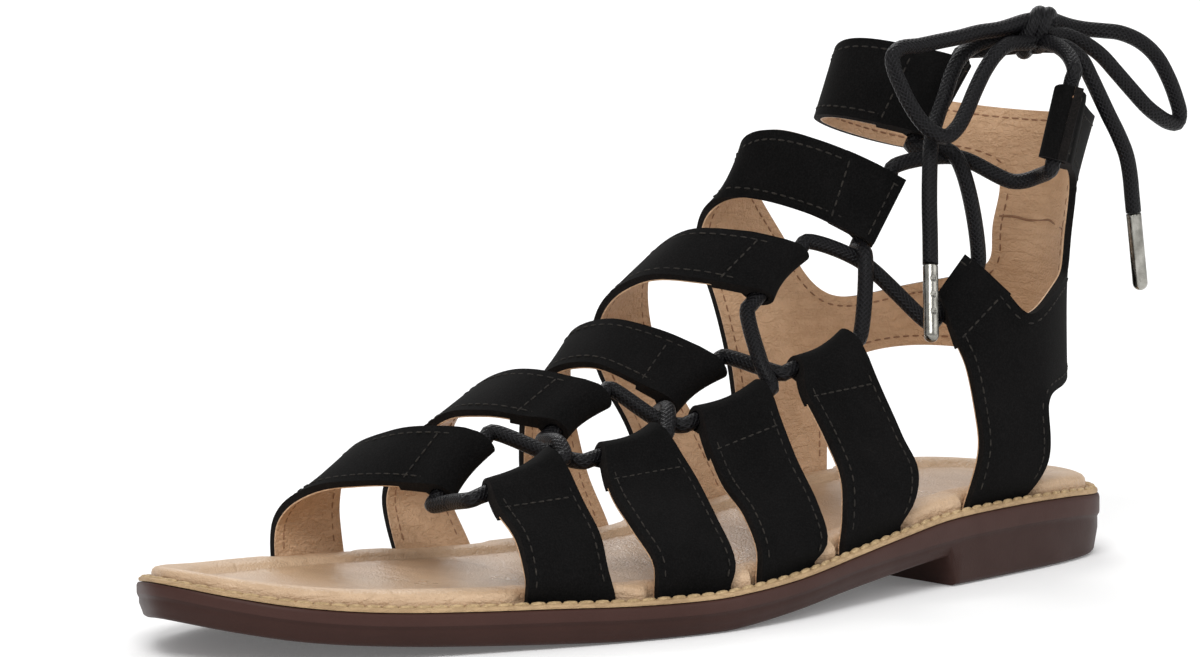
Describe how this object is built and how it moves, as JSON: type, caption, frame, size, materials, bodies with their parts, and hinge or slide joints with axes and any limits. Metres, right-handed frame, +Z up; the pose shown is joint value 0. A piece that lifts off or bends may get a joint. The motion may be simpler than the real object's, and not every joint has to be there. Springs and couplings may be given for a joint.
{
  "type": "gladiator sandal",
  "caption": "Flat open-toed sandal for a left foot: wide straps end in folded lace tunnels, with a criss-cross lace up the instep and a bow at the ankle.",
  "frame": {"origin": "on the floor under the middle of the heel block, at the centre of its flat face", "axes": "+X toward the toe, +Y toward the outer (lateral) side, +Z up"},
  "size_m": [0.2649, 0.0912, 0.1239],
  "materials": {
    "outsole": "satin",
    "welt": "matte",
    "footbed": "satin",
    "suede": "matte",
    "lace": "satin",
    "metal": "polished"
  },
  "bodies": {
    "root": {"outsole": "outsole", "welt": "welt", "insole": "footbed", "medial_1": "suede", "medial_2": "suede", "medial_3": "suede", "medial_4": "suede", "lateral_1": "suede", "lateral_2": "suede", "lateral_3": "suede", "lateral_4": "suede", "cuff": "suede", "lace_toe_bar": "lace", "lace_cross_1": "lace", "lace_cross_2": "lace", "lace_cross_3": "lace", "lace_cross_4": "lace", "lace_cross_5": "lace", "lace_lead_lateral": "lace", "lace_lead_medial": "lace", "lace_knot": "lace", "lace_loop_toe": "lace", "lace_end_toe": "lace", "lace_loop_heel": "lace", "lace_end_heel": "lace", "aglet_toe": "metal", "aglet_heel": "metal"}
  },
  "joints": []
}
